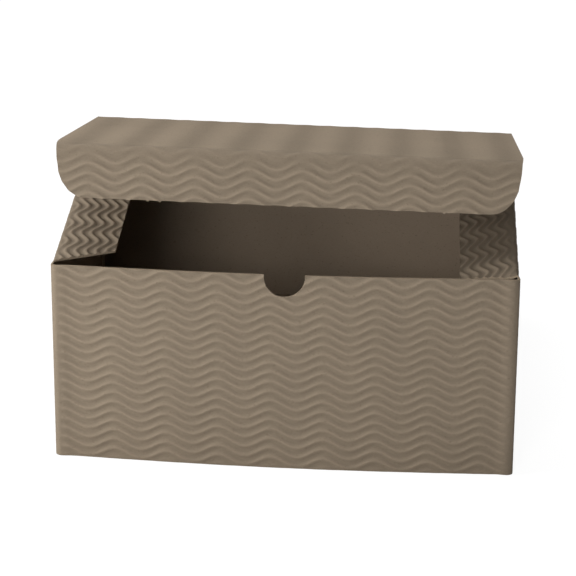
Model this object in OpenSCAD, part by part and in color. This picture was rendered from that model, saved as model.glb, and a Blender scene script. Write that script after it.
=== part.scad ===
// Tuck-top carton folded from one sheet of kraft board with a waved outer face.
// X runs across the front, Y from the front to the back, and Z up.
// The origin is the middle of the footprint, on the surface that the carton stands on.
// The lid is drawn a little open, and it and its tuck flap each turn on the crease that carries them.

/* [Carton] */
// Width across the front, over the waves
carton_w = 229; // [160:1:320]
// Depth from the front to the back, over the waves
carton_d = 229; // [160:1:320]
// Height of the front wall
carton_h = 102; // [70:1:180]
// Thickness of the flat board under the waves
board_t = 0.6; // [0.5:0.1:1]
// Outer radius of the four upright creases
corner_r = 2; // [1.4:0.1:4]

/* [Waves] */
// Height of a wave line above the board
wave_h = 0.9; // [0.6:0.1:1.4]
// Depth of the groove floor above the board
groove_h = 0.15; // [0.05:0.05:0.3]
// Spacing from one wave line to the next
wave_pitch = 5; // [4:0.5:9]
// Length of one wave along its line
wave_len = 26; // [20:1:44]
// Swing of a line from side to side
wave_swing = 4.8; // [2:0.1:7]
// Distance into a wave at which the front wall starts
wave_start = 3.5; // [0:0.5:26]
// Distance into a wave at which the lid starts
lid_wave_start = 18; // [0:0.5:26]
// Straight steps in each wave on the front wall and the tuck flap
fine_steps = 4; // [2, 4]
// Straight steps in each wave everywhere else
plain_steps = 2; // [2, 4]
// Width of flat board left beside each crease
crease_margin = 2; // [1.6:0.1:4]

/* [Thumb notch] */
// Width of the notch in the front wall's top edge
notch_w = 20; // [12:1:40]
// Depth of the notch below the edge
notch_deep = 11.3; // [7:0.1:30]

/* [Dust flaps] */
// How far a dust flap reaches in from its crease
dust_reach = 28.5; // [16:0.5:60]
// How far the front end of its free edge is cut back
dust_taper = 12; // [4:0.5:30]
// Length of the bevel between the tapered end and the free edge
dust_bevel = 6; // [2:0.5:14]
// Cut-back of the back end of its free edge
dust_back_taper = 4; // [1:0.5:20]
// Clearance from the shut tuck flap to the front of the dust flaps
dust_front_gap = 1; // [0.5:0.1:6]
// Clearance from the back wall to the back of the dust flaps
dust_back_gap = 1; // [0.5:0.1:6]
// Angle of the left flap above level
left_tilt = 1; // [-15:0.5:3]
// Angle of the right flap above level
right_tilt = -13.5; // [-15:0.5:3]

/* [Lid] */
// Angle of the lid above its closed place
lid_open = 14.3; // [0:0.1:110]
// Clearance between the lid's edge and the outside of the side walls
lid_side_gap = 0.7; // [0:0.1:3]
// Clearance between the closed lid and the dust flaps
lid_gap = 0.3; // [0.2:0.1:1]
// Clearance between a crease bead and the panel that it turns against
crease_gap = 0.3; // [0.2:0.05:0.6]

/* [Tuck flap] */
// Depth of the tuck flap below the lid's front crease
tuck_deep = 26; // [16:0.5:50]
// Angle between the lid and the tuck flap
tuck_angle = 79.4; // [66:0.1:120]
// Clearance from the flap's waves to the inside of the front wall
tuck_gap = 0.5; // [0.3:0.1:2]
// Clearance at each end of the flap inside the side walls
tuck_side_gap = 1.2; // [0.5:0.1:4]
// Width of the rounded end corners
tuck_corner_w = 13; // [4:0.5:30]
// Height of the rounded end corners
tuck_corner_h = 20; // [4:0.5:24]

/* [Snap-lock base] */
// Width of the locking tongue
tongue_w = 112; // [50:1:140]
// How far the tongue passes the lock line
tongue_reach = 28; // [12:1:50]
// Bevel of the tongue's corners
tongue_bevel = 7; // [2:1:11]
// Lock line's distance behind the middle of the base
lock_y = 6; // [-10:1:20]
// Reach of the back flap's ears past the lock line
ear_reach = 30; // [10:1:55]
// Slant of the ears' outer ends
ear_slant = 12; // [3:1:20]
// Reach of the side flaps from their creases
side_reach = 74; // [45:1:78]
// Rise of the side flaps' slanted back ends
side_slant = 30; // [10:1:40]
// Cut-back along the front flap's slanted ends
front_slant = 34; // [10:1:60]
// Clearance round each base flap
base_gap = 0.8; // [0.4:0.1:2]

/* [Glued seam] */
// Width of the seam tab inside the left wall
seam_w = 16; // [8:1:30]
// Distance of the tab's ends from the base and from the left wall's crease
seam_inset = 8; // [6:1:16]
// Cut-back of the seam tab's ends
seam_bevel = 5; // [2:1:12]

/* [Hidden] */
KRAFT = [0.60, 0.53, 0.45];
KRAFT_LID = [0.64, 0.57, 0.48];
KRAFT_FLAP = [0.66, 0.58, 0.49];
$fn = 24;

sheet_t = board_t + wave_h;
board_half_w = carton_w / 2 - wave_h;
board_half_d = carton_d / 2 - wave_h;
inner_half_w = board_half_w - board_t;
inner_half_d = board_half_d - board_t;
inner_corner_r = corner_r - board_t;
// how far joined solids sink into each other, and how far a cut reaches past what it cuts
overlap = board_t / 2;
cut = 1;

// the lid's underside clears the crests of the higher dust flap when it is shut
dust_lift = dust_reach * sin(max(left_tilt, right_tilt, 0));
lid_under = carton_h + wave_h + dust_lift + lid_gap;
lid_axis_y = board_half_d - board_t / 2;
lid_axis_z = lid_under + board_t / 2;
back_h = lid_under - crease_gap;

// the shut tuck flap hangs just inside the front wall
tuck_axis_y = -inner_half_d + tuck_gap + sheet_t - board_t / 2;
lid_len = lid_axis_y - tuck_axis_y;
lid_half_w = carton_w / 2 - lid_side_gap;
tuck_half_w = inner_half_w - tuck_side_gap;

// a dust flap starts behind the shut tuck flap, which leans in above its rounded corners
tuck_lean = (tuck_deep - tuck_corner_h) * cos(tuck_angle);
dust_front_y = tuck_axis_y + board_t / 2 + tuck_lean + dust_front_gap;
dust_back_y = inner_half_d - dust_back_gap;
dust_len = dust_back_y - dust_front_y;

// the base flaps start half way through the board, so that they join the walls
fold_x = inner_half_w + overlap;
fold_y = inner_half_d + overlap;

function bend(i, steps) = wave_swing / 2 * sin(360 * (i + 0.5) / steps);
function sway(x, steps) =
    let (u = x * steps / wave_len - 0.5, i = floor(u))
    bend(i, steps) + (u - i) * (bend(i + 1, steps) - bend(i, steps));

// Field of wave lines along X over len by rise, with its foot sunk into the board.
// start is the distance that the lines have already run before this panel.
module wave_field(len, rise, start, steps) {
    step = wave_len / steps;
    bends = [for (i = [floor(start / step) : ceil((start + len) / step)])
        let (x = (i + 0.5) * step - start) if (x > step / 8 && x < len - step / 8) x];
    xs = concat([0], bends, [len]);
    half_pitch = wave_pitch / 2;
    spare = floor(wave_swing / wave_pitch) + 1;
    rows = 2 * ceil(rise / wave_pitch + spare) + 1;
    cols = len(xs);
    ridges = [for (j = [0 : rows - 1], x = xs)
        [x, (j - spare) * half_pitch + sway(x + start, steps), j % 2 == 0 ? groove_h : wave_h]];
    foot = [for (j = [0, rows - 1], i = [0 : cols - 1])
        [ridges[j * cols + i].x, ridges[j * cols + i].y, -overlap]];
    near = rows * cols;
    far = near + cols;
    last = (rows - 1) * cols;
    slopes = [for (j = [0 : rows - 2], i = [0 : cols - 2])
        [j * cols + i, (j + 1) * cols + i, (j + 1) * cols + i + 1, j * cols + i + 1]];
    sides = [for (i = [0 : cols - 2]) each [
        [i, i + 1, near + i + 1, near + i],
        [last + i + 1, last + i, far + i, far + i + 1],
        [near + i, near + i + 1, far + i + 1, far + i]
    ]];
    // each cut end is a strip of board with one triangle for each ridge
    teeth = [for (j = [0 : 2 : rows - 3]) each [
        [(j + 2) * cols, (j + 1) * cols, j * cols],
        [(j + 1) * cols - 1, (j + 2) * cols - 1, (j + 3) * cols - 1]
    ]];
    left_end = concat([near, far], [for (j = [rows - 1 : -2 : 0]) j * cols]);
    right_end = concat([far + cols - 1, near + cols - 1], [for (j = [0 : 2 : rows - 1]) (j + 1) * cols - 1]);
    polyhedron([each ridges, each foot], [each slopes, each sides, each teeth, left_end, right_end]);
}

// Waves trimmed to the flat outline given as the child, on board that lies in the XY plane.
module waves(len, rise, start, steps) {
    intersection() {
        wave_field(len, rise, start, steps);
        translate([0, 0, -overlap]) linear_extrude(overlap + wave_h + cut) children();
    }
}

module rounded_box_2d(half_w, half_d, r) {
    square([2 * half_w, 2 * (half_d - r)], center = true);
    square([2 * (half_w - r), 2 * half_d], center = true);
    for (x = [-1, 1], y = [-1, 1]) translate([x * (half_w - r), y * (half_d - r)]) circle(r);
}

module notch_2d() {
    r = notch_w / 2;
    translate([0, -max(notch_deep - r, 0)]) scale([1, min(notch_deep / r, 1)]) circle(r);
    translate([-r, -max(notch_deep - r, 0)]) square([notch_w, max(notch_deep - r, 0) + cut]);
}

// Board of the four walls, as one tube whose back wall stands up to the lid's crease.
module wall_board() {
    side_top = carton_h - board_t;
    difference() {
        union() {
            linear_extrude(side_top) difference() {
                rounded_box_2d(board_half_w, board_half_d, corner_r);
                rounded_box_2d(inner_half_w, inner_half_d, inner_corner_r);
            }
            translate([-board_half_w + corner_r, -board_half_d, side_top - overlap])
                cube([2 * (board_half_w - corner_r), board_t, board_t + overlap]);
            translate([-board_half_w + corner_r, inner_half_d, side_top - overlap])
                cube([2 * (board_half_w - corner_r), board_t, back_h - side_top + overlap]);
        }
        translate([0, -inner_half_d + cut, carton_h])
            rotate([90, 0, 0]) linear_extrude(board_t + 2 * cut) notch_2d();
    }
}

// Waves of one wall, standing on its board and looking at it from outside.
module wall_waves(wall_w, top, start, steps) {
    len = wall_w - 2 * corner_r;
    waves(len, top, start + corner_r, steps) difference() {
        translate([0, crease_margin]) square([len, top - crease_margin]);
        children();
    }
}

module walls() {
    board_w = 2 * board_half_w;
    board_d = 2 * board_half_d;
    side_top = carton_h - board_t - crease_margin;
    wall_board();
    translate([-board_half_w + corner_r, -board_half_d, 0]) rotate([90, 0, 0])
        wall_waves(board_w, carton_h, wave_start, fine_steps)
            translate([board_half_w - corner_r, carton_h]) notch_2d();
    translate([board_half_w, -board_half_d + corner_r, 0]) rotate([90, 0, 90])
        wall_waves(board_d, side_top, wave_start + board_w, plain_steps);
    translate([board_half_w - corner_r, board_half_d, 0]) rotate([90, 0, 180])
        wall_waves(board_w, back_h - crease_margin, wave_start + board_w + board_d, plain_steps);
    translate([-board_half_w, board_half_d - corner_r, 0]) rotate([90, 0, 270])
        wall_waves(board_d, side_top, wave_start + 2 * board_w + board_d, plain_steps);
}

// Dust flap in its own plane: X along the crease from the front, Y across to the free edge.
module dust_outline(margin) {
    polygon([
        [dust_taper * margin / dust_reach, margin],
        [dust_taper, dust_reach - dust_bevel],
        [dust_taper + dust_bevel / 2, dust_reach],
        [dust_len - dust_back_taper, dust_reach],
        [dust_len - dust_back_taper * margin / dust_reach, margin]
    ]);
}

// Both dust flaps, each on the rounded crease along its side wall's top.
module dust_flaps() {
    for (side = [0, 1]) mirror([side, 0, 0])
        translate([inner_half_w, dust_front_y, carton_h - board_t]) rotate([0, [right_tilt, left_tilt][side], 0]) {
            rotate([-90, 0, 0]) cylinder(h = dust_len, r = board_t);
            rotate([0, 0, 90]) {
                linear_extrude(board_t) dust_outline(0);
                translate([0, 0, board_t]) waves(dust_len, dust_reach, 0, plain_steps) dust_outline(crease_margin);
            }
        }
}

// Base flap outlines, seen from above with the front wall at -Y.
module front_base_2d() {
    shoulder = inner_half_w - base_gap;
    polygon([
        [-shoulder, -fold_y], [shoulder, -fold_y],
        [shoulder - front_slant, lock_y], [front_slant - shoulder, lock_y]
    ]);
}

module tongue_2d() {
    half = tongue_w / 2;
    tip = lock_y + tongue_reach;
    polygon([
        [-half, lock_y], [half, lock_y], [half, tip - tongue_bevel], [half - tongue_bevel, tip],
        [tongue_bevel - half, tip], [-half, tip - tongue_bevel]
    ]);
}

module back_base_2d() {
    shoulder = inner_half_w - base_gap;
    slot = tongue_w / 2 + base_gap;
    difference() {
        polygon([
            [shoulder, fold_y], [-shoulder, fold_y], [-shoulder, lock_y],
            [ear_slant - shoulder, lock_y - ear_reach], [shoulder - ear_slant, lock_y - ear_reach],
            [shoulder, lock_y]
        ]);
        translate([-slot, lock_y - ear_reach - cut])
            square([2 * slot, ear_reach + cut + tongue_reach + base_gap]);
    }
}

module side_base_2d() {
    end = inner_half_d - base_gap;
    tip = fold_x - side_reach;
    polygon([
        [fold_x, -end], [fold_x, end], [tip, end - side_slant - side_reach / 2],
        [tip, lock_y - base_gap], [fold_x - side_reach / 2, -end + side_slant]
    ]);
}

// Four interlocked flaps, one leaf thick each: the front one lies lowest, the side ones on it and the
// back one on those. The front flap's tongue comes up into the back flap's slot.
module snap_lock_base() {
    linear_extrude(sheet_t) front_base_2d();
    translate([0, 0, sheet_t]) linear_extrude(sheet_t) for (side = [0, 1]) mirror([side, 0]) side_base_2d();
    translate([0, 0, 2 * sheet_t]) linear_extrude(sheet_t) back_base_2d();
    translate([0, -base_gap, sheet_t]) linear_extrude(2 * sheet_t) tongue_2d();
}

// Tab from the back wall, glued flat inside the left wall.
module seam_tab() {
    low = 3 * sheet_t + seam_inset;
    high = carton_h - board_t - seam_inset;
    translate([-inner_half_w - overlap, 0, 0]) rotate([90, 0, 90]) linear_extrude(board_t + overlap)
        polygon([
            [fold_y, low], [inner_half_d - seam_w, low + seam_bevel],
            [inner_half_d - seam_w, high - seam_bevel], [fold_y, high]
        ]);
}

module carton() {
    color(KRAFT) {
        walls();
        dust_flaps();
        seam_tab();
        snap_lock_base();
    }
}

// Lid in its closed place: its hinge crease runs along X through the origin and the lid lies towards -Y.
module closed_lid() {
    front = lid_len - board_t / 2 - crease_gap;
    rotate([0, 90, 0]) cylinder(h = 2 * lid_half_w, r = board_t / 2, center = true);
    translate([-lid_half_w, -front, -board_t / 2]) cube([2 * lid_half_w, front, board_t]);
    translate([lid_half_w, 0, board_t / 2]) rotate([0, 0, 180])
        waves(2 * lid_half_w, front, lid_wave_start, plain_steps)
            translate([0, crease_margin]) square([2 * lid_half_w, front - 2 * crease_margin]);
}

module lid() {
    color(KRAFT_LID) translate([0, lid_axis_y, lid_axis_z]) rotate([-lid_open, 0, 0]) closed_lid();
}

// Tuck flap's outline, hanging down from its crease along X.
module tuck_outline(margin) {
    corner = [for (a = [0 : 15 : 90])
        [tuck_half_w - tuck_corner_w * (1 - cos(a)), tuck_deep - tuck_corner_h * (1 - sin(a))]];
    polygon(concat(
        [[-tuck_half_w, margin], [tuck_half_w, margin]],
        corner,
        [for (i = [len(corner) - 1 : -1 : 0]) [-corner[i][0], corner[i][1]]]
    ));
}

// Tuck flap laid flat in the lid's plane: its crease is the X axis and it reaches towards -Y.
module flat_tuck_flap() {
    rotate([0, 90, 0]) cylinder(h = 2 * tuck_half_w, r = board_t / 2, center = true);
    rotate([0, 0, 180]) {
        translate([0, 0, -board_t / 2]) linear_extrude(board_t) tuck_outline(0);
        translate([-tuck_half_w, 0, board_t / 2])
            waves(2 * tuck_half_w, tuck_deep, lid_wave_start + lid_half_w - tuck_half_w, fine_steps)
                translate([tuck_half_w, 0]) tuck_outline(crease_margin);
    }
}

module tuck_flap() {
    color(KRAFT_FLAP) translate([0, lid_axis_y, lid_axis_z]) rotate([-lid_open, 0, 0])
        translate([0, -lid_len, 0]) rotate([180 - tuck_angle, 0, 0]) flat_tuck_flap();
}

carton();
lid();
tuck_flap();
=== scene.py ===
"""Dressed scene of a tuck-top folding carton of waved kraft board.

Sizes are in millimetres until a mesh is made, and then in metres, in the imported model's frame.
"""

import logging
import math
from dataclasses import dataclass, field
from enum import Enum
from typing import Any, Callable, Sequence

import bmesh
import bpy
import numpy as np
from mathutils import Matrix, Vector


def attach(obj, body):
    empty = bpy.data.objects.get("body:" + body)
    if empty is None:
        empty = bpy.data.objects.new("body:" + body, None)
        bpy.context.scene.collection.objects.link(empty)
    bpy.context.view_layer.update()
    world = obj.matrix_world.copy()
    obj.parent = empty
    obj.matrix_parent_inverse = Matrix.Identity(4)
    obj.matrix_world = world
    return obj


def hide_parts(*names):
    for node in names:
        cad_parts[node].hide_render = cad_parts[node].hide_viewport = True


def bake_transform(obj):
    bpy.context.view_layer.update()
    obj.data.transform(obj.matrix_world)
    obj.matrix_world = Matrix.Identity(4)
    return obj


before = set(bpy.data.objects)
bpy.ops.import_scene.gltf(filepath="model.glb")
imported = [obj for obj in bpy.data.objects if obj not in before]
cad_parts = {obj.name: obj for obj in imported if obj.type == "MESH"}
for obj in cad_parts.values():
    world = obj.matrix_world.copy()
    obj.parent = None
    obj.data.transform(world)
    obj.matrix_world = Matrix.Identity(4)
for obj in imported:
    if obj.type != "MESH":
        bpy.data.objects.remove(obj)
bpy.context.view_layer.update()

log = logging.getLogger("carton")
MM = 0.001

# Share of the waves' height that is left in the middle of a hard crease.
HARD = 0.05

Point = tuple[float, float]
Pair = tuple[float, float]
Colour = tuple[float, float, float]
Place = Callable[[np.ndarray], np.ndarray]


def edges(outline: Sequence[Point]) -> list[tuple[Point, Point]]:
    """The edges of an outline, each from one corner to the next."""
    return list(zip(outline, [*outline[1:], outline[0]]))


class Body(Enum):
    """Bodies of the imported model, each named as the one node that it carries."""

    CARTON = "carton"
    LID = "lid"
    TUCK_FLAP = "tuck_flap"

    @property
    def slot(self) -> str:
        """The material slot of the body's board."""
        return f"kraft_{self.value}"


class Face(Enum):
    """Faces of a piece of board, in the order of its material slots."""

    WAVED = 0
    CUT = 1
    PLAIN = 2


class Side(Enum):
    """Walls of the tube, by quarter turns from the front."""

    FRONT = 0
    RIGHT = 1
    BACK = 2
    LEFT = 3


class Along(Enum):
    """Direction of a crease in a panel: along its wave lines, or across them."""

    LINES = 1
    ACROSS = 0


# ---- board and panels


@dataclass(frozen=True)
class WavedBoard:
    """Kraft board with wave lines pressed on one face."""

    board_t: float = 0.6
    crest: float = 0.9
    groove: float = 0.2
    pitch: float = 5.05
    wave: float = 26.03
    swing: float = 2.42
    narrow: float = 1.5
    welt: float = 0.07
    rows_per_line: int = 8
    columns_per_wave: int = 12

    @property
    def sheet_t(self) -> float:
        """Thickness over the crests."""
        return self.board_t + self.crest

    def sway(self, u: np.ndarray, start: float) -> np.ndarray:
        """Sideways place of a wave line.

        Args:
            u: Distance along the line.
            start: Distance that the line has already run at u = 0.

        Returns:
            The offset across the line at each distance.
        """
        return self.swing * np.sin(2 * math.pi * (u + start) / self.wave)

    def rise(self, steps: np.ndarray) -> np.ndarray:
        """Height of the waved face above the board.

        Args:
            steps: Distance from a crest, in line spacings.

        Returns:
            The height at each distance.
        """
        swell = (0.5 + 0.5 * np.cos(2 * math.pi * steps)) ** self.narrow
        welt = np.clip(np.cos(4 * math.pi * steps), 0, 1) * (np.cos(2 * math.pi * steps) < 0)
        return self.groove + (self.crest - self.groove) * (swell + self.welt * welt)


@dataclass(frozen=True)
class Crease:
    """A folded line that crushes the waves beside it, fully out to flat and then less, to reach."""

    along: Along
    at: float
    reach: float = 2.6
    left_over: float = 0.2
    flat: float = 0.0

    def keep(self, uv: np.ndarray) -> np.ndarray:
        """Share of the waves' height that is left beside the crease.

        Args:
            uv: Points of the panel.

        Returns:
            A share from left_over to 1 for each point.
        """
        away = np.abs(uv[:, self.along.value] - self.at) - self.flat
        t = np.clip(away / (self.reach - self.flat), 0, 1)
        return self.left_over + (1 - self.left_over) * t * t * (3 - 2 * t)


class Panel:
    """A flat panel of waved board: u along its lines, v across them, h out of its waved face."""

    CUT_TOLERANCE = 1e-4
    PUNCH_MARGIN = 6.0

    def __init__(
        self,
        board: WavedBoard,
        columns: Sequence[float],
        low: float,
        high: float,
        start: float = 0.0,
        crest_at: float = 0.0,
    ) -> None:
        """Lays a grid that follows the wave lines.

        Args:
            board: The kind of board.
            columns: Places along the lines, in rising order.
            low: Lowest v of the panel.
            high: Highest v of the panel.
            start: Distance that the lines have already run at u = 0.
            crest_at: A v at which an unswayed line has its crest.
        """
        self.board = board
        step = board.pitch / board.rows_per_line
        spare = board.swing + 2 * step
        first = math.floor((low - spare - crest_at) / step)
        last = math.ceil((high + spare - crest_at) / step)
        count = np.arange(first, last + 1)
        us = np.asarray(columns, float)
        u, row = np.meshgrid(us, count)
        v = crest_at + row * step + board.sway(u, start)
        h = board.rise(row / board.rows_per_line)
        points = np.stack([u, v, h], axis=-1).reshape(-1, 3)
        across = len(us)
        corner = (np.arange(len(count) - 1)[:, None] * across + np.arange(across - 1)).ravel()
        quads = np.stack([corner, corner + 1, corner + across + 1, corner + across], axis=-1)
        mesh = bpy.data.meshes.new("panel")
        mesh.from_pydata(points.tolist(), [], quads.tolist())
        self.bm = bmesh.new()
        self.bm.from_mesh(mesh)
        bpy.data.meshes.remove(mesh)
        self.trim([(us[0], low), (us[-1], low), (us[-1], high), (us[0], high)])

    @staticmethod
    def even_columns(board: WavedBoard, low: float, high: float) -> list[float]:
        """Evenly spaced places along the wave lines.

        Args:
            board: The kind of board.
            low: First place.
            high: Last place.

        Returns:
            The places, close to the board's own column spacing.
        """
        count = max(2, round((high - low) * board.columns_per_wave / board.wave))
        return list(np.linspace(low, high, count + 1))

    def _split(self, geometry: list, a: Point, b: Point, clear: bool) -> None:
        """Cuts geometry along the line from a to b, and may drop what lies to its right."""
        bmesh.ops.bisect_plane(
            self.bm,
            geom=geometry,
            dist=self.CUT_TOLERANCE,
            plane_co=(a[0], a[1], 0),
            plane_no=(b[1] - a[1], a[0] - b[0], 0),
            clear_outer=clear,
        )

    def trim(self, outline: Sequence[Point]) -> "Panel":
        """Cuts the panel to a convex outline.

        Args:
            outline: Corners in the order that keeps the panel on the left.

        Returns:
            The panel.
        """
        for a, b in edges(outline):
            self._split([*self.bm.verts, *self.bm.edges, *self.bm.faces], a, b, True)
        return self

    def punch(self, outline: Sequence[Point]) -> "Panel":
        """Cuts a convex hole or notch out of the panel.

        Args:
            outline: Corners in the order that keeps the hole on the left.

        Returns:
            The panel.
        """
        corners, margin = np.array(outline), self.PUNCH_MARGIN
        low, high = corners.min(axis=0) - margin, corners.max(axis=0) + margin
        for a, b in edges(outline):
            near = [
                f
                for f in self.bm.faces
                if low[0] < (c := f.calc_center_median()).x < high[0] and low[1] < c.y < high[1]
            ]
            rims = dict.fromkeys(e for f in near for e in (*f.verts, *f.edges))
            self._split([*rims, *near], a, b, False)
        inside = []
        for f in self.bm.faces:
            c = f.calc_center_median()
            if all(
                (b[0] - a[0]) * (c.y - a[1]) - (b[1] - a[1]) * (c.x - a[0]) > 0
                for a, b in edges(outline)
            ):
                inside.append(f)
        bmesh.ops.delete(self.bm, geom=inside, context="FACES")
        return self

    def fold(self, name: str, place: Place, creases: Sequence[Crease] = ()) -> bpy.types.Object:
        """Gives the panel its thickness and puts it in its place.

        Args:
            name: Name of the new piece.
            place: Takes points (u, v, h) to points (x, y, z).
            creases: Folds that crush the waves.

        Returns:
            The new object, with its material slots in the order of Face.
        """
        board = self.board
        self.bm.verts.index_update()
        flat = np.array([v.co for v in self.bm.verts])
        outer = [[v.index for v in f.verts] for f in self.bm.faces]
        count = len(flat)
        rim = []
        for e in self.bm.edges:
            if len(e.link_loops) == 1:
                loop = e.link_loops[0]
                a, b = loop.vert.index, loop.link_loop_next.vert.index
                rim.append([b, a, a + count, b + count])
        self.bm.free()
        swell = flat[:, 2] - board.groove
        for crease in creases:
            swell = swell * crease.keep(flat)
        relief = swell / (board.crest - board.groove)
        flat[:, 2] = board.groove + swell
        under = flat * (1, 1, 0) - (0, 0, board.board_t)
        both = np.concatenate([flat, under])
        faces = outer + rim + [[i + count for i in reversed(f)] for f in outer]
        sizes = (len(outer), len(rim), len(outer))
        kinds = [face.value for face, size in zip(Face, sizes) for _ in range(size)]
        heights = np.concatenate([relief, np.zeros(count)])
        return BoardMesh(name, place(both), faces, kinds, both[:, :2], heights).build()


@dataclass
class BoardMesh:
    """Closed mesh of a piece of board, with its panel places as UVs and its waves as relief."""

    name: str
    points: np.ndarray
    faces: list[list[int]]
    kinds: list[int]
    flat: np.ndarray
    relief: np.ndarray
    sharp_deg: float = 48.0
    uv_scale: float = 0.01

    def _volume(self) -> float:
        """Adds up the mesh's volume, to tell which way its faces look.

        Returns:
            Six times the volume, below 0 where the faces look inwards.
        """
        total = 0.0
        for size in {len(f) for f in self.faces}:
            corners = self.points[np.array([f for f in self.faces if len(f) == size])]
            for i in range(1, size - 1):
                normals = np.cross(corners[:, i], corners[:, i + 1])
                total += float((corners[:, 0] * normals).sum())
        return total

    def build(self) -> bpy.types.Object:
        """Makes the object.

        Returns:
            The object, at the origin, with smooth faces and sharp rims.
        """
        if self._volume() < 0:
            self.faces = [list(reversed(f)) for f in self.faces]
        mesh = bpy.data.meshes.new(self.name)
        mesh.from_pydata((self.points * MM).tolist(), [], self.faces)
        mesh.polygons.foreach_set("material_index", self.kinds)
        mesh.polygons.foreach_set("use_smooth", [True] * len(self.faces))
        order = np.concatenate([np.asarray(f) for f in self.faces])
        layer = mesh.uv_layers.new(name="panel")
        layer.data.foreach_set("uv", (self.flat[order] * self.uv_scale).ravel())
        mesh.attributes.new("relief", "FLOAT", "POINT").data.foreach_set("value", self.relief)
        mesh.set_sharp_from_angle(angle=math.radians(self.sharp_deg))
        mesh.validate()
        obj = bpy.data.objects.new(self.name, mesh)
        bpy.context.scene.collection.objects.link(obj)
        return obj


# ---- shader graphs


class Wire:
    """An output of a shader graph that takes part in Python expressions."""

    def __init__(self, graph: "Graph", socket: bpy.types.NodeSocket) -> None:
        """Wraps a socket of a graph."""
        self.graph = graph
        self.socket = socket

    def _math(self, operation: str, *values: Any, clamp: bool = False) -> "Wire":
        """Adds one Math node on these values."""
        settings = {"operation": operation, "use_clamp": clamp}
        return self.graph.node("ShaderNodeMath", settings, dict(enumerate(values)))

    def __add__(self, other: Any) -> "Wire":
        """self + other."""
        return self._math("ADD", self, other)

    __radd__ = __add__

    def __sub__(self, other: Any) -> "Wire":
        """self - other."""
        return self._math("SUBTRACT", self, other)

    def __rsub__(self, other: Any) -> "Wire":
        """other - self."""
        return self._math("SUBTRACT", other, self)

    def __mul__(self, other: Any) -> "Wire":
        """self * other."""
        return self._math("MULTIPLY", self, other)

    __rmul__ = __mul__

    def __pow__(self, other: Any) -> "Wire":
        """self to the power of other."""
        return self._math("POWER", self, other)

    def __rpow__(self, other: Any) -> "Wire":
        """other to the power of self."""
        return self._math("POWER", other, self)

    def clamped(self) -> "Wire":
        """The value held between 0 and 1."""
        return self._math("ADD", self, 0.0, clamp=True)

    def step(self, low: float, high: float) -> "Wire":
        """A smooth rise from 0 at low to 1 at high.

        Args:
            low: Value at which the rise starts.
            high: Value at which it ends.

        Returns:
            The eased value.
        """
        settings = {"interpolation_type": "SMOOTHSTEP"}
        values = {"Value": self, "From Min": low, "From Max": high}
        return self.graph.node("ShaderNodeMapRange", settings, values, "Result")


@dataclass(frozen=True)
class Noise:
    """A noise: clouds for each unit of its vector, number of finer layers, and their strength."""

    scale: float
    detail: float
    rough: float


class Graph:
    """The node tree of one material or of the world."""

    def __init__(self, owner: bpy.types.Material | bpy.types.World) -> None:
        """Empties the owner's node tree and starts a graph in it.

        Args:
            owner: The material or world.
        """
        owner.use_nodes = True
        self.tree = owner.node_tree
        self.tree.nodes.clear()

    def node(
        self,
        kind: str,
        settings: dict[str, Any] | None = None,
        values: dict[str | int, Any] | None = None,
        output: str | int = 0,
    ) -> Wire:
        """Adds a node.

        Args:
            kind: Type of the node.
            settings: Properties of the node, which are set first.
            values: Values or wires for its inputs, by name or number.
            output: Name or number of the output that is wanted.

        Returns:
            That output as a wire.
        """
        made = self.tree.nodes.new(kind)
        for key, value in (settings or {}).items():
            setattr(made, key, value)
        for key, value in (values or {}).items():
            socket = made.inputs[key]
            if isinstance(value, Wire):
                self.tree.links.new(value.socket, socket)
            elif socket.type == "RGBA" and len(value) == 3:
                socket.default_value = (*value, 1)
            else:
                socket.default_value = value
        outputs = made.outputs
        return Wire(self, outputs[output]) if len(outputs) else Wire(self, made.inputs[0])

    def mix(self, share: Any, a: Any, b: Any, how: str = "MIX") -> Wire:
        """Mixes two colours.

        Args:
            share: How much of the second colour there is, from 0 to 1.
            a: First colour or wire.
            b: Second colour or wire.
            how: Name of the blend.

        Returns:
            The mixed colour.
        """
        settings = {"data_type": "RGBA", "blend_type": how, "clamp_factor": True}
        return self.node("ShaderNodeMix", settings, {0: share, 6: a, 7: b}, 2)

    def stretch(self, vector: Wire, scale: tuple[float, float, float]) -> Wire:
        """The vector multiplied by scale, part by part."""
        return self.node("ShaderNodeVectorMath", {"operation": "MULTIPLY"}, {0: vector, 1: scale})

    def noise(self, vector: Wire, kind: Noise) -> Wire:
        """Adds a noise.

        Args:
            vector: Where to read it.
            kind: The kind of noise.

        Returns:
            Values round 0.5.
        """
        values = {"Scale": kind.scale, "Detail": kind.detail, "Roughness": kind.rough}
        return self.node("ShaderNodeTexNoise", {}, {"Vector": vector, **values})


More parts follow.
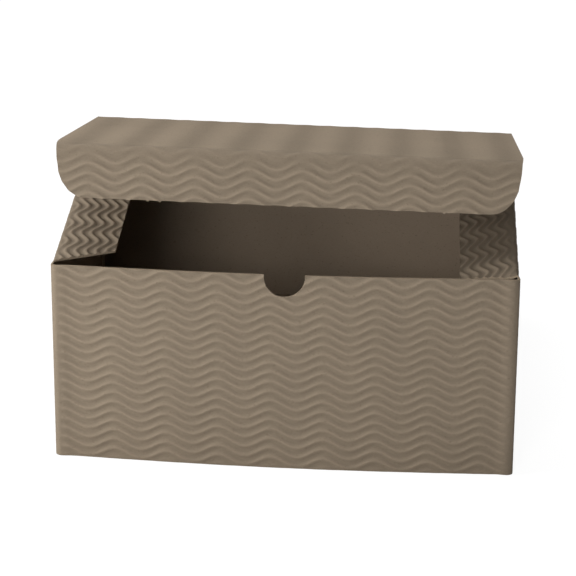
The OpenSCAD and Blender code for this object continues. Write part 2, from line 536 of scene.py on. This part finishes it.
@dataclass(frozen=True)
class KraftFinish:
    """Unbleached kraft board with clouds, fibres and flecks, painted shade in the grooves and a
    painted highlight on the crests.
    """

    colour: Colour
    fibre: Colour
    fleck: Colour
    clouds: float = 0.10
    fibres: float = 0.16
    flecks: float = 0.3
    # Painted shade: darkens the board where the waves' relief is low, in the grooves and over the
    # crushed zones beside creases.
    groove_shade: float = 0.17
    # Painted highlight: lightens the crests of the waves.
    painted_crest_highlight: float = 0.06
    roughness: float = 0.86
    bump: float = 0.25
    grain: Pair = (9.0, 60.0)
    cross_grain: Pair = (60.0, 14.0)
    cloud_noise: Noise = Noise(9.0, 3.0, 0.6)
    mottle_noise: Noise = Noise(90.0, 4.0, 0.65)
    strand_noise: Noise = Noise(6.0, 3.0, 0.7)
    cross_noise: Noise = Noise(6.0, 2.0, 0.6)
    speck_noise: Noise = Noise(900.0, 1.0, 0.5)
    fibre_band: Pair = (0.60, 0.78)
    fibre_cover: float = 0.5
    fleck_band: Pair = (0.66, 0.74)
    crest_power: float = 4.0
    rough_spread: float = 0.12
    pulp: tuple[float, float, float] = (0.6, 0.25, 0.5)
    bump_depth: float = 0.0004
    specular: float = 0.25

    def dress(self, name: str) -> bpy.types.Material:
        """Makes the material.

        Args:
            name: Name of the material.

        Returns:
            The material, with its colour, roughness and bump from nodes.
        """
        material = bpy.data.materials.new(name)
        graph = Graph(material)
        panel = graph.node("ShaderNodeUVMap", {"uv_map": "panel"})
        solid = graph.node("ShaderNodeTexCoord", {}, {}, "Object")
        relief = graph.node("ShaderNodeAttribute", {"attribute_name": "relief"}, {}, "Fac")
        cloud = graph.noise(solid, self.cloud_noise)
        mottle = graph.noise(solid, self.mottle_noise)
        strand = graph.noise(graph.stretch(panel, (*self.grain, 1)), self.strand_noise)
        cross = graph.noise(graph.stretch(panel, (*self.cross_grain, 1)), self.cross_noise)
        speck = graph.noise(solid, self.speck_noise)
        tone = (
            1
            + (cloud - 0.5) * (2 * self.clouds)
            + (mottle - 0.5) * self.clouds
            + (strand - 0.5) * (2 * self.fibres)
            + (cross - 0.5) * self.fibres
            # Painted shade in the grooves and crushed creases, and a painted highlight on the
            # crests, both from the relief.
            - (1 - relief) * self.groove_shade
            + relief**self.crest_power * self.painted_crest_highlight
        )
        grey = graph.node("ShaderNodeCombineColor", {}, {0: tone, 1: tone, 2: tone})
        board = graph.mix(1.0, self.colour, grey, "MULTIPLY")
        board = graph.mix(strand.step(*self.fibre_band) * self.fibre_cover, board, self.fibre)
        board = graph.mix(speck.step(*self.fleck_band) * self.flecks, board, self.fleck)
        pulp = strand * self.pulp[0] + speck * self.pulp[1] + mottle * self.pulp[2]
        bump = {"Strength": self.bump, "Distance": self.bump_depth, "Height": pulp}
        values = {
            "Base Color": board,
            "Roughness": self.roughness + (mottle - 0.5) * self.rough_spread,
            "Normal": graph.node("ShaderNodeBump", {}, bump),
            "Specular IOR Level": self.specular,
        }
        surface = graph.node("ShaderNodeBsdfPrincipled", {}, values)
        graph.node("ShaderNodeOutputMaterial", {}, {"Surface": surface})
        return material


WAVED = KraftFinish((0.236, 0.187, 0.134), (0.33, 0.27, 0.20), (0.11, 0.080, 0.052))
PLAIN = KraftFinish(
    (0.300, 0.235, 0.172),
    (0.38, 0.30, 0.225),
    (0.09, 0.065, 0.042),
    clouds=0.14,
    groove_shade=0.0,
    painted_crest_highlight=0.0,
    roughness=0.8,
    bump=0.15,
)
CUT = KraftFinish(
    (0.30, 0.235, 0.165),
    (0.40, 0.32, 0.24),
    (0.12, 0.09, 0.06),
    groove_shade=0.0,
    fibres=0.3,
    roughness=0.95,
    grain=(40.0, 8.0),
)


@dataclass
class Finishes:
    """The finishes of the carton's faces, made once."""

    made: dict[str, bpy.types.Material] = field(default_factory=dict)

    def paint(self, piece: bpy.types.Object, body: Body) -> None:
        """Gives a piece the finishes and the slot of a body's board.

        Args:
            piece: The piece.
            body: The body whose board it is made of.
        """
        for face, finish in zip(Face, (WAVED, CUT, PLAIN)):
            name = f"{body.slot}_{face.name.lower()}"
            if name not in self.made:
                self.made[name] = finish.dress(name)
            piece.data.materials.append(self.made[name])
        body.slot
        log.info("%s: %d faces", piece.name, len(piece.data.polygons))

    def dress(self, piece: bpy.types.Object, body: Body) -> None:
        """Gives a piece of board its finishes and its body.

        Args:
            piece: The piece.
            body: The body that it rides on and whose node it stands for.
        """
        self.paint(piece, body)
        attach(piece, body.value)
        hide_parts(body.value)

    def dress_fold(
        self, piece: bpy.types.Object, inner: Body, outer: Body, start: Vector, end: Vector
    ) -> None:
        """Gives the strip over a moving crease its finishes, hides the outer body's imported part
        and bakes the strip's transform.

        Args:
            piece: The strip.
            inner: The body before the crease; not used.
            outer: The body past the crease, whose finishes the strip has.
            start: Where the strip still follows the inner body, in metres; not used.
            end: Where it follows the outer body, in metres; not used.
        """
        self.paint(piece, outer)
        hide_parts(outer.value)
        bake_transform(piece)


# ---- the carton


@dataclass(frozen=True)
class Racking:
    """The slight lean and twist of a carton that has been folded by hand."""

    lean_left: float = 3.0
    lean_right: float = 1.5
    twist: float = 1.2
    half: float = 114.5
    height: float = 102.0

    def settle(self, points: np.ndarray) -> np.ndarray:
        """Shifts the foot of the carton to the right, and raises the right end of its front.

        Args:
            points: Points (x, y, z) of the carton as it is cut.

        Returns:
            The points as the carton stands.
        """
        x, y, z = points.T
        side = np.clip(x / self.half, -1, 1)
        low = 1 - z / self.height
        left, right = self.lean_left, self.lean_right
        shift = (left + right) / 2 - side * (left - right) / 2
        front = np.clip(0.5 - y / (2 * self.half), 0, 1)
        rise = self.twist * side * front * np.clip(z / self.height, 0, 1)
        return np.stack([x + shift * np.clip(low, 0, 1), y, z + rise], axis=-1)


RACKING = Racking()


@dataclass
class Tube:
    """The four walls, with rounded upright creases and a front that bows out."""

    board: WavedBoard
    finishes: Finishes
    width: float = 229.0
    height: float = 102.0
    back_height: float = 101.0
    side_height: float = 101.4
    corner_r: float = 2.0
    bow: float = 4.3
    notch_w: float = 20.0
    notch_deep: float = 11.3
    wave_start: float = 3.51
    crest_at: float = -1.4
    front_crushed: float = 4.0
    side_crushed: float = 10.0
    top_crushed: float = 5.0
    top_flat: float = 1.4
    bulge: float = 0.75
    bulge_reach: float = 6.0
    bend_steps: int = 4
    notch_steps: int = 24
    notch_spare: float = 1.0

    @property
    def half(self) -> float:
        """Half of the width over the board."""
        return self.width / 2 - self.board.crest

    @property
    def straight(self) -> float:
        """Straight length of a wall between its creases."""
        return 2 * (self.half - self.corner_r)

    @property
    def arc(self) -> float:
        """Length of half of an upright crease."""
        return self.corner_r * math.pi / 4

    def place(self, side: Side) -> Place:
        """Places a wall's points.

        Args:
            side: The wall.

        Returns:
            The function that takes (u, v, h) to (x, y, z).
        """

        def put(points: np.ndarray) -> np.ndarray:
            """Bends the wall's ends round its upright creases, and bows the front.

            Args:
                points: Points (u, v, h) of the flat wall.

            Returns:
                Points (x, y, z).
            """
            u, v, h = points.T
            near = np.minimum(u, self.straight + 2 * self.arc - u) - self.arc
            h = h + self.bulge * np.cos(np.clip(near / self.bulge_reach, 0, 1) * math.pi / 2) ** 2
            along = np.clip(u - self.arc, 0, self.straight)
            turn = (u - self.arc - along) / self.corner_r
            x = along - self.straight / 2 + (self.corner_r + h) * np.sin(turn)
            y = -(self.half - self.corner_r) - (self.corner_r + h) * np.cos(turn)
            end = self.half - self.corner_r * (1 - math.sin(math.pi / 4))
            if side is Side.FRONT:
                y = y - self.bow * np.cos(np.clip(x / end, -1, 1) * math.pi / 2)
            for _ in range(side.value):
                x, y = -y, x
            return RACKING.settle(np.stack([x, y, v], axis=-1))

        return put

    def notch(self) -> list[Point]:
        """Draws the thumb notch.

        Returns:
            The notch's outline in the front wall, counter-clockwise.
        """
        r, middle = self.notch_w / 2, self.arc + self.straight / 2
        sink, above = self.height - (self.notch_deep - r), self.height + self.notch_spare
        arc = [
            (middle + r * math.cos(a), sink + r * math.sin(a))
            for a in np.radians(np.linspace(-180, 0, self.notch_steps + 1))
        ]
        return [*arc, (middle + r, above), (middle - r, above)]

    def wall(self, side: Side) -> None:
        """Makes a wall, from the middle of one upright crease to the middle of the next.

        Args:
            side: The wall.
        """
        tops = {Side.FRONT: self.height, Side.BACK: self.back_height}
        top = tops.get(side, self.side_height)
        length = self.straight + 2 * self.arc
        bend = list(np.linspace(0, self.arc, self.bend_steps + 1))
        middle = Panel.even_columns(self.board, self.arc, self.arc + self.straight)
        columns = bend[:-1] + middle + [length - a for a in reversed(bend[:-1])]
        start = self.wave_start + length * side.value
        panel = Panel(self.board, columns, 0, top, start, self.crest_at)
        if side is Side.FRONT:
            panel.punch(self.notch())
        reach = self.side_crushed if side in (Side.LEFT, Side.RIGHT) else self.front_crushed
        creases = [
            Crease(Along.ACROSS, 0, reach, HARD, self.arc),
            Crease(Along.ACROSS, length, reach, HARD, self.arc),
            Crease(Along.LINES, 0),
        ]
        if side is not Side.FRONT:
            creases.append(Crease(Along.LINES, top, self.top_crushed, HARD, self.top_flat))
        piece = panel.fold(f"{side.name.lower()}_wall", self.place(side), creases)
        self.finishes.dress(piece, Body.CARTON)

    def build(self) -> None:
        """Makes the four walls."""
        for side in Side:
            self.wall(side)


@dataclass
class DustFlap:
    """A flap folded in from a side wall's top, with one end tapered behind the tuck flap."""

    board: WavedBoard
    finishes: Finishes
    side: Side
    tilt_deg: float
    crushed: float
    length: float = 220.9
    front_y: float = -108.9
    crease_x: float = 113.0
    crease_z: float = 101.4
    reach: float = 28.5
    taper: float = 12.0
    bevel: float = 6.0
    back_taper: float = 4.0
    flat: float = 0.6
    least_r: float = 0.04
    wave_start: float = 5.0
    crest_at: float = 1.2
    sag: float = 0.0
    sag_reach: float = 10.0
    sag_ease: float = 6.0

    @property
    def bend(self) -> float:
        """Length of the fold from the side wall's face to the flap's."""
        return self.board.board_t * (math.pi / 2 - math.radians(self.tilt_deg))

    def outline(self) -> list[Point]:
        """The flap's outline with its fold, and with the free edge at high v."""
        return [
            (0, -self.bend),
            (self.length, -self.bend),
            (self.length, 0),
            (self.length - self.back_taper, self.reach),
            (self.taper + self.bevel / 2, self.reach),
            (self.taper, self.reach - self.bevel),
            (0, 0),
        ]

    def place(self, points: np.ndarray) -> np.ndarray:
        """Bends the flap over its crease, from the side wall's top to its free edge.

        Args:
            points: Points (u, v, h), where u runs back from the front end.

        Returns:
            Points (x, y, z).
        """
        u, v, h = points.T
        r = self.board.board_t
        tilt = math.radians(self.tilt_deg)
        angle = tilt + np.clip(-v / r, 0, math.pi / 2 - tilt)
        reach = np.maximum(v, 0)
        out = np.maximum(r + h, self.least_r)
        x = self.crease_x - reach * math.cos(tilt) + out * np.sin(angle)
        z = self.crease_z + reach * math.sin(tilt) + out * np.cos(angle)
        end = np.clip(1 - u / self.sag_reach, 0, 1)
        z = z - self.sag * end * end * np.clip(reach / self.sag_ease, 0, 1)
        if self.side is Side.LEFT:
            x = -x
        return RACKING.settle(np.stack([x, self.front_y + u, z], axis=-1))

    def build(self) -> None:
        """Makes the flap with its fold."""
        columns = Panel.even_columns(self.board, 0, self.length)
        panel = Panel(self.board, columns, -self.bend, self.reach, self.wave_start, self.crest_at)
        panel.trim(self.outline())
        creases = [Crease(Along.LINES, 0, self.crushed, HARD, self.flat)]
        piece = panel.fold(f"{self.side.name.lower()}_dust_flap", self.place, creases)
        self.finishes.dress(piece, Body.CARTON)


@dataclass
class SnapLockBase:
    """Four interlocked base flaps, with their waved faces down."""

    board: WavedBoard
    finishes: Finishes
    inner_half: float = 113.0
    fold_half: float = 113.3
    gap: float = 0.8
    slot_gap: float = 0.25
    lock_y: float = 6.0
    front_slant: float = 34.0
    tongue_w: float = 112.0
    tongue_reach: float = 28.0
    tongue_bevel: float = 7.0
    ear_reach: float = 30.0
    ear_slant: float = 12.0
    side_reach: float = 74.0
    side_slant: float = 30.0
    bow: float = 4.3
    bow_from: float = 80.0
    slot_spare: float = 1.0
    wave_start: float = 3.0

    def leaf(
        self,
        name: str,
        outline: Sequence[Point],
        level: float,
        along_y: bool = False,
        slot: Sequence[Point] = (),
        creases: Sequence[Crease] = (),
    ) -> None:
        """Makes one leaf of the base.

        Args:
            name: Name of the piece.
            outline: Corners (x, y), counter-clockwise from above.
            level: Height of the leaf's underside, in leaves.
            along_y: Whether the wave lines run along Y.
            slot: Outline of a slot, counter-clockwise from above.
            creases: Folds that crush the waves.
        """

        def flat(corners: Sequence[Point]) -> list[Point]:
            """Turns corners (x, y) into places (u, v)."""
            return [(-y, x) for x, y in corners] if along_y else list(corners)

        def put(points: np.ndarray) -> np.ndarray:
            """Lays the leaf at its level, and lets the front leaf follow the front's bow.

            Args:
                points: Points (u, v, h) of the flat leaf.

            Returns:
                Points (x, y, z).
            """
            u, v, h = points.T
            x, y = (v, -u) if along_y else (u, v)
            near = np.clip((-y - self.bow_from) / (self.fold_half - self.bow_from), 0, 1)
            pull = self.bow * np.cos(np.clip(x / self.inner_half, -1, 1) * math.pi / 2)
            z = level * self.board.sheet_t + self.board.crest - h
            if not along_y and level == 0:
                y = y - pull * near * near
            return RACKING.settle(np.stack([x, y, z], axis=-1))

        corners = np.array(flat(outline))
        low, high = corners.min(axis=0), corners.max(axis=0)
        columns = Panel.even_columns(self.board, low[0], high[0])
        panel = Panel(self.board, columns, low[1], high[1], self.wave_start).trim(flat(outline))
        if slot:
            panel.punch(flat(slot))
        self.finishes.dress(panel.fold(name, put, creases), Body.CARTON)

    def build(self) -> None:
        """Makes the front leaf, its tongue, the slotted back leaf and the two side leaves."""
        shoulder, fold = self.inner_half - self.gap, self.fold_half
        half, tip = self.tongue_w / 2, self.lock_y + self.tongue_reach
        end, bevel = tip - self.slot_gap, self.tongue_bevel
        self.leaf(
            "front_base_flap",
            [
                (-shoulder, -fold),
                (shoulder, -fold),
                (shoulder - self.front_slant, self.lock_y),
                (self.front_slant - shoulder, self.lock_y),
            ],
            0,
            creases=[Crease(Along.LINES, -fold)],
        )
        self.leaf(
            "locking_tongue",
            [
                (-half, self.lock_y - self.gap),
                (half, self.lock_y - self.gap),
                (half, end - bevel),
                (half - bevel, end),
                (bevel - half, end),
                (-half, end - bevel),
            ],
            2,
        )
        ear = self.lock_y - self.ear_reach
        slot, below = half + self.slot_gap, ear - self.slot_spare
        self.leaf(
            "back_base_flap",
            [
                (shoulder, fold),
                (-shoulder, fold),
                (-shoulder, self.lock_y),
                (self.ear_slant - shoulder, ear),
                (shoulder - self.ear_slant, ear),
                (shoulder, self.lock_y),
            ],
            2,
            slot=[(-slot, below), (slot, below), (slot, tip), (-slot, tip)],
            creases=[Crease(Along.LINES, fold)],
        )
        inner, middle = fold - self.side_reach, fold - self.side_reach / 2
        shape = [
            (fold, -shoulder),
            (fold, shoulder),
            (inner, shoulder - self.side_slant - self.side_reach / 2),
            (inner, self.lock_y - self.gap),
            (middle, self.side_slant - shoulder),
        ]
        self.leaf("right_base_flap", shape, 1, True, creases=[Crease(Along.LINES, fold)])
        mirrored = [(-x, y) for x, y in reversed(shape)]
        self.leaf("left_base_flap", mirrored, 1, True, creases=[Crease(Along.LINES, -fold)])


@dataclass
class SeamTab:
    """The tab of the back wall that is glued inside the left wall."""

    board: WavedBoard
    finishes: Finishes
    inner_half: float = 113.0
    width: float = 16.0
    low: float = 12.5
    high: float = 93.4
    bevel: float = 5.0
    fold_gap: float = 0.05
    glue: float = 0.07
    pressed: WavedBoard = WavedBoard(crest=0.06, groove=0.04)

    def build(self) -> None:
        """Makes the tab, with its waved face pressed against the wall."""
        start, end = self.inner_half - self.fold_gap, self.inner_half - self.width
        outline = [
            (end, self.low + self.bevel),
            (start, self.low),
            (start, self.high),
            (end, self.high - self.bevel),
        ]
        columns = Panel.even_columns(self.board, end, start)
        panel = Panel(self.pressed, columns, self.low, self.high).trim(outline)

        def put(points: np.ndarray) -> np.ndarray:
            """Stands the tab against the left wall."""
            u, v, h = points.T
            return RACKING.settle(np.stack([-self.inner_half + self.glue - h, u, v], axis=-1))

        self.finishes.dress(panel.fold("seam_tab", put), Body.CARTON)


# ---- the lid


@dataclass
class LidHinge:
    """Place of the lid at rest."""

    axis_y: float = 113.3
    axis_z: float = 103.997
    open_deg: float = 14.3
    length: float = 224.6

    def carry(self, points: np.ndarray) -> np.ndarray:
        """Takes points of the closed lid to their place, turned and moved with the lid.

        Args:
            points: Points (x, y, z), with the hinge at the origin.

        Returns:
            The moved points.
        """
        turn = Matrix.Rotation(math.radians(-self.open_deg), 4, "X")
        m = np.array(Matrix.Translation((0, self.axis_y, self.axis_z)) @ turn)
        return points @ m[:3, :3].T + m[:3, 3]


@dataclass(frozen=True)
class RoundFold:
    """A rounded fold over a straight crease, in the plane across the crease.

    The first panel comes along p to the crease at p = 0, and q points out of its waved face.
    """

    bend_deg: float
    radius: float
    face: float = 0.3

    @property
    def tangent(self) -> float:
        """Distance from the crease at which each panel starts to bend."""
        return (self.radius - self.face) * math.tan(math.radians(self.bend_deg) / 2)

    @property
    def past(self) -> float:
        """Sheet place s at which the second panel is flat, where the first ends at s = -tangent."""
        return self.radius * math.radians(self.bend_deg) - self.tangent

    @property
    def spare(self) -> float:
        """How much shorter the way round the bend is than the way over the crease."""
        return self.tangent - self.past

    def place(self, s: np.ndarray, h: np.ndarray) -> tuple[np.ndarray, np.ndarray]:
        """Bends the sheet.

        Args:
            s: Distance along the sheet from the crease.
            h: Height above the board's waved side.

        Returns:
            The places p and q.
        """
        full = math.radians(self.bend_deg)
        turn = np.clip((s + self.tangent) / self.radius, 0, full)
        before, beyond = np.minimum(s + self.tangent, 0), np.maximum(s - self.past, 0)
        out = self.radius + h
        p = before - self.tangent + out * np.sin(turn) + beyond * math.cos(full)
        q = self.face - self.radius + out * np.cos(turn) - beyond * math.sin(full)
        return p, q


@dataclass
class LidSheet:
    """The lid and its tuck flap, one sheet with the back wall, folded at the hinge and in front.

    Its points are (u, v, h): u from the right end to the left, v from the hinge to the free edge.
    """

    board: WavedBoard
    finishes: Finishes
    hinge: LidHinge
    half_w: float = 113.8
    tuck_half_w: float = 112.6
    deep: float = 26.0
    corner_w: float = 13.8
    corner_h: float = 20.0
    corner_steps: int = 12
    hinge_inset: float = 0.9
    hinge_spare: float = 10.0
    edge_ease: float = 4.0
    tuck_inset: float = 0.7
    tuck_ease: float = 1.0
    wave_start: float = 17.8
    crest_from_edge: float = 0.2
    strip: float = 6.0
    hinge_strip: float = 2.6
    hinge_crushed: float = 7.0
    hinge_flat: float = 1.5
    front_crushed: float = 8.0
    front_left_over: float = 0.3
    nibs_x: tuple[float, ...] = (-68.0, -62.0, 76.0)
    nib_half: float = 0.7
    nib_deep: float = 0.7
    edge_tolerance: float = 0.01
    hinge_fold: RoundFold = RoundFold(75.7, 1.2)
    tuck_fold: RoundFold = RoundFold(100.6, 3.2)

    @property
    def crease_v(self) -> float:
        """Place of the tuck crease on the sheet."""
        return self.hinge.length - self.hinge_fold.spare

    @property
    def end_v(self) -> float:
        """Place of the tuck flap's free edge on the sheet."""
        return self.crease_v + self.deep - self.tuck_fold.spare

    def outline(self) -> list[Point]:
        """Draws the sheet, narrower past the tuck crease and with rounded corners.

        Returns:
            The outline, from below the hinge to the tuck flap's free edge.
        """
        angles = np.radians(np.linspace(0, 90, self.corner_steps + 1))
        crease, middle = self.crease_v, self.half_w
        side = [
            (middle - self.hinge_inset, -self.hinge_spare),
            (middle, self.edge_ease),
            (middle, crease - self.edge_ease),
            (middle - self.tuck_inset, crease + self.tuck_ease),
        ]
        side += [
            (
                self.tuck_half_w - self.corner_w * (1 - math.cos(a)),
                self.end_v - self.corner_h * (1 - math.sin(a)),
            )
            for a in angles
        ]
        left = [(middle + x, v) for x, v in side]
        right = [(middle - x, v) for x, v in reversed(side)]
        return [*left, *right]

    def panel(self, low: float, high: float) -> Panel:
        """Cuts a panel out of the sheet.

        Args:
            low: Place v at which the panel starts.
            high: Place v at which it ends.

        Returns:
            The panel, with extra columns beside the nibs.
        """
        columns = Panel.even_columns(self.board, 0, 2 * self.half_w)
        steps = [self.nib_half * share for share in (-1, -0.5, 0.5, 1)]
        columns = sorted(columns + [self.half_w - x + step for x in self.nibs_x for step in steps])
        crest_at = self.end_v - self.crest_from_edge
        panel = Panel(self.board, columns, low, high, self.wave_start, crest_at)
        return panel.trim(self.outline())

    def place_hinge(self, points: np.ndarray) -> np.ndarray:
        """Bends the sheet over the hinge.

        Args:
            points: Points (u, v, h) from the back wall to the lid.

        Returns:
            Points (x, y, z).
        """
        u, v, h = points.T
        p, q = self.hinge_fold.place(v, h)
        return np.stack([self.half_w - u, self.hinge.axis_y + q, self.hinge.axis_z + p], axis=-1)

    def place_lid(self, points: np.ndarray) -> np.ndarray:
        """Bends the sheet over the front fold, and draws the nibs out of the free edge.

        Args:
            points: Points (u, v, h) from the lid to the tuck flap.

        Returns:
            Points (x, y, z).
        """
        u, v, h = points.T
        for x in self.nibs_x:
            share = np.clip(2 - 2 * np.abs(self.half_w - u - x) / self.nib_half, 0, 1)
            v = v + self.nib_deep * share * (v > self.end_v - self.edge_tolerance)
        p, q = self.tuck_fold.place(v - self.crease_v, h)
        return self.hinge.carry(np.stack([self.half_w - u, -self.hinge.length - p, q], axis=-1))

    def ends(self, place: Place, v0: float, v1: float) -> tuple[Vector, Vector]:
        """Middles of the sheet at two places v, in metres."""
        rows = place(np.array([[self.half_w, v0, 0.0], [self.half_w, v1, 0.0]])) * MM
        return Vector(rows[0]), Vector(rows[1])

    def build(self) -> None:
        """Makes the hinge's fold, the lid, the front fold and the tuck flap."""
        middle = (self.hinge_fold.past - self.hinge_fold.tangent) / 2
        crushed = [Crease(Along.LINES, middle, self.hinge_crushed, HARD, self.hinge_flat)]
        crease, bend = self.crease_v, self.tuck_fold
        soft = [Crease(Along.LINES, crease, self.front_crushed, self.front_left_over)]
        low, first = -self.hinge_strip - self.hinge_fold.tangent, self.hinge_strip
        last, flap = crease - self.strip, crease + self.strip
        hinge = self.panel(low, first).fold("lid_hinge_fold", self.place_hinge, crushed)
        start, end = self.ends(self.place_hinge, -self.hinge_fold.tangent, self.hinge_fold.past)
        self.finishes.dress_fold(hinge, Body.CARTON, Body.LID, start, end)
        lid = self.panel(first, last).fold("lid_panel", self.place_lid, crushed + soft)
        self.finishes.dress(lid, Body.LID)
        front = self.panel(last, flap).fold("tuck_fold", self.place_lid, soft)
        start, end = self.ends(self.place_lid, crease - bend.tangent, crease + bend.past)
        self.finishes.dress_fold(front, Body.LID, Body.TUCK_FLAP, start, end)
        tuck = self.panel(flap, self.end_v).fold("tuck_flap_panel", self.place_lid, soft)
        self.finishes.dress(tuck, Body.TUCK_FLAP)


# ---- studio


@dataclass(frozen=True)
class PhotoCamera:
    """The camera of the photograph, worked out from the carton's corners."""

    focal_px: float = 3230.0
    yaw_deg: float = 2.102
    pitch_deg: float = 20.653
    roll_deg: float = 1.71
    aim: tuple[float, float, float] = (-2.37, 0.0, 50.95)
    distance: float = 1695.5
    frame_px: int = 576
    sensor: float = 36.0
    clip: Pair = (0.05, 50.0)

    def build(self) -> None:
        """Makes the camera and sets it as the scene's camera."""
        yaw, pitch, roll = (math.radians(a) for a in (self.yaw_deg, self.pitch_deg, self.roll_deg))
        right = Vector((math.cos(yaw), math.sin(yaw), 0))
        ahead = Vector(
            (-math.sin(yaw) * math.cos(pitch), math.cos(yaw) * math.cos(pitch), -math.sin(pitch))
        )
        up = right.cross(ahead)
        right, up = (
            right * math.cos(roll) + up * math.sin(roll),
            up * math.cos(roll) - right * math.sin(roll),
        )
        data = bpy.data.cameras.new("photo_camera")
        data.sensor_width = self.sensor
        data.lens = self.focal_px / self.frame_px * self.sensor
        data.clip_start, data.clip_end = self.clip
        camera = bpy.data.objects.new("photo_camera", data)
        eye = (Vector(self.aim) - ahead * self.distance) * MM
        axes = Matrix((right, up, -ahead)).transposed()
        camera.matrix_world = Matrix.Translation(eye) @ axes.to_4x4()
        bpy.context.scene.collection.objects.link(camera)
        bpy.context.scene.camera = camera


@dataclass(frozen=True)
class SoftBox:
    """A square studio lamp aimed at the carton."""

    name: str
    eye: tuple[float, float, float]
    size: float
    watts: float
    aim: tuple[float, float, float] = (0.0, 0.0, 0.06)

    def build(self) -> None:
        """Makes the lamp."""
        data = bpy.data.lights.new(self.name, "AREA")
        data.energy, data.size = self.watts, self.size
        lamp = bpy.data.objects.new(self.name, data)
        lamp.location = self.eye
        beam = Vector(self.aim) - lamp.location
        lamp.rotation_euler = beam.to_track_quat("-Z", "Y").to_euler()
        bpy.context.scene.collection.objects.link(lamp)


@dataclass
class Studio:
    """White floor, white surroundings and soft lamps."""

    floor_half: float = 6.0
    floor_drop: float = 0.0002
    floor_white: float = 1.1
    paper: Colour = (0.9, 0.9, 0.9)
    white: Colour = (1.0, 1.0, 1.0)
    world_white: float = 1.02
    glow: float = 0.86
    ambient: float = 0.03
    lamps: tuple[SoftBox, ...] = (
        SoftBox("key_lamp", (-0.36, -1.85, 0.70), 0.5, 16.3),
        SoftBox("left_lamp", (-0.76, -0.31, 0.38), 0.26, 6.1),
        SoftBox("top_lamp", (-0.2, 0.45, 1.6), 0.9, 17.2),
    )

    @staticmethod
    def seen(graph: Graph) -> Wire:
        """Tells what is looked at from what lights the board.

        Args:
            graph: The graph of the floor or of the world.

        Returns:
            1 for rays from the camera, off gloss and through clear matter, and 0 for others.
        """
        camera, glossy, clear = (
            graph.node("ShaderNodeLightPath", {}, {}, f"Is {ray} Ray")
            for ray in ("Camera", "Glossy", "Transmission")
        )
        return (camera + glossy + clear).clamped()

    def floor(self) -> None:
        """Makes the floor, which is white to the camera and keeps a soft shadow."""
        h = self.floor_half
        mesh = bpy.data.meshes.new("floor")
        mesh.from_pydata([(-h, -h, 0), (h, -h, 0), (h, h, 0), (-h, h, 0)], [], [(0, 1, 2, 3)])
        floor = bpy.data.objects.new("floor", mesh)
        floor.location.z = -self.floor_drop
        bpy.context.scene.collection.objects.link(floor)
        material = bpy.data.materials.new("floor_paper")
        graph = Graph(material)
        paper = graph.node("ShaderNodeBsdfDiffuse", {}, {"Color": self.paper})
        values = {"Color": self.white, "Strength": self.floor_white}
        white = graph.node("ShaderNodeEmission", {}, values)
        values = {0: self.seen(graph) * self.glow, 1: paper, 2: white}
        surface = graph.node("ShaderNodeMixShader", {}, values)
        graph.node("ShaderNodeOutputMaterial", {}, {"Surface": surface})
        mesh.materials.append(material)

    def surroundings(self) -> None:
        """Makes the world white to the camera and plain and dimmer to the board."""
        world = bpy.data.worlds.new("studio")
        bpy.context.scene.world = world
        graph = Graph(world)
        strength = self.seen(graph) * (self.world_white - self.ambient) + self.ambient
        values = {"Color": self.white, "Strength": strength}
        light = graph.node("ShaderNodeBackground", {}, values)
        graph.node("ShaderNodeOutputWorld", {}, {"Surface": light})

    def build(self) -> None:
        """Makes the floor, the surroundings, the lamps and the colour settings."""
        self.floor()
        self.surroundings()
        for lamp in self.lamps:
            lamp.build()
        bpy.context.scene.view_settings.view_transform = "Standard"


def main() -> None:
    """Builds the carton, the lid, the tuck flap and the studio."""
    logging.basicConfig(level=logging.INFO, format="%(name)s: %(message)s")
    board, finishes, hinge = WavedBoard(), Finishes(), LidHinge()
    PhotoCamera().build()
    Tube(board, finishes).build()
    DustFlap(board, finishes, Side.LEFT, tilt_deg=1.0, crushed=2.2).build()
    DustFlap(board, finishes, Side.RIGHT, tilt_deg=-17.0, crushed=4.0, sag=2.4).build()
    coarse = WavedBoard(rows_per_line=6, columns_per_wave=8)
    SnapLockBase(coarse, finishes).build()
    SeamTab(board, finishes).build()
    LidSheet(board, finishes, hinge).build()
    Studio().build()


if __name__ == "__main__":
    main()
